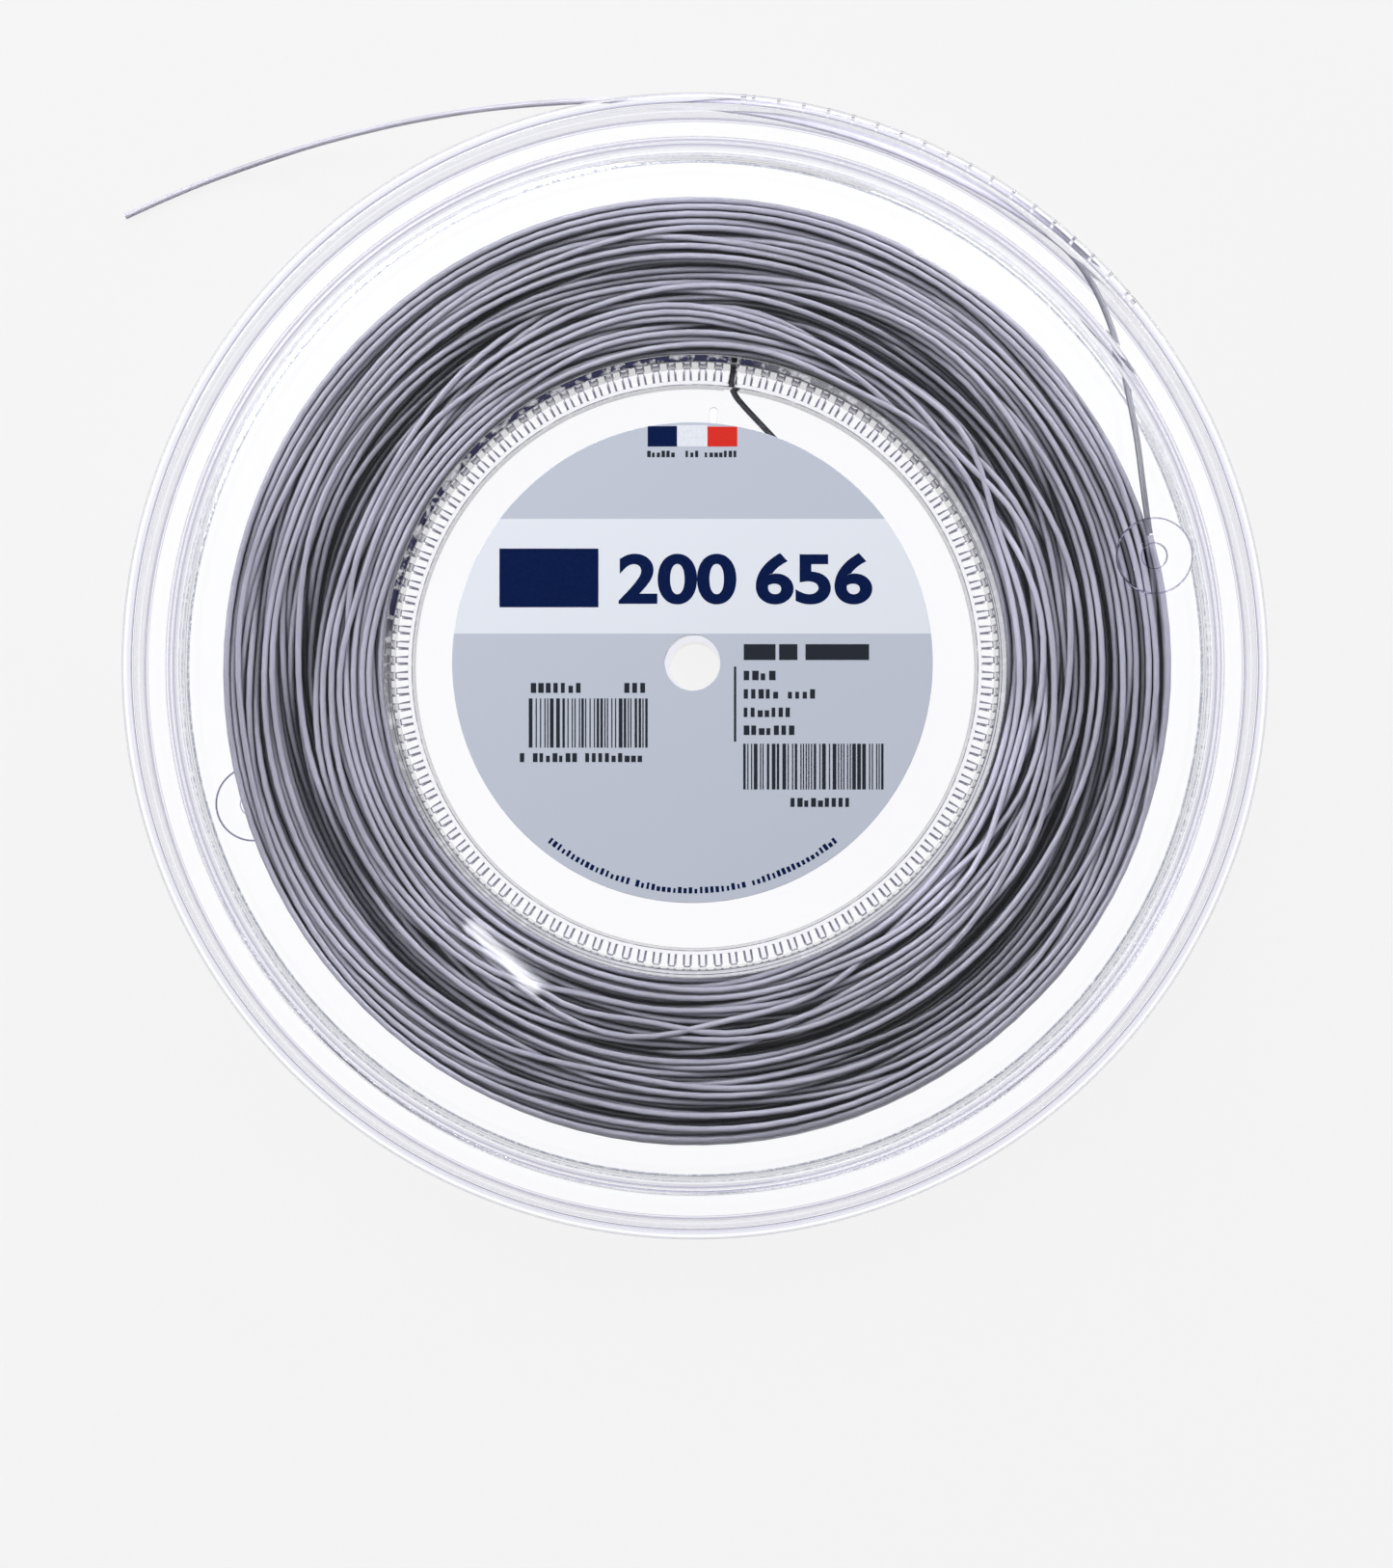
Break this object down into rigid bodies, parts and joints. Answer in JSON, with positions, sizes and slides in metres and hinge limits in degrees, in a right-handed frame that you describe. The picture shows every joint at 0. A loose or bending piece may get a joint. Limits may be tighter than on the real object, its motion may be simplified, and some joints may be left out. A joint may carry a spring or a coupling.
{
  "type": "string reel",
  "caption": "Clear round reel of racket string: two lipped plastic halves on a ribbed drum, a round label, the wound string and its loose tail.",
  "frame": {"origin": "middle of the rear rim's plane, on which the reel lies", "axes": "+Z along the spindle bore, out of the labelled front; +X to the right and +Y up of the label as it is read"},
  "size_m": [0.2327, 0.2309, 0.036],
  "materials": {
    "clear_plastic": "clear moulded polystyrene, polished, with a faint cool tint at its edges",
    "label_paper": "printed coated paper, satin",
    "grey_string": "smooth co-polyester monofilament, grey, satin gloss"
  },
  "bodies": {
    "root": {"rear_half": "clear_plastic", "front_half": "clear_plastic", "label": "label_paper", "winding_core": "grey_string", "winding_outer_layer": "grey_string", "string_tail": "grey_string", "string_inner_end": "grey_string"}
  },
  "joints": []
}
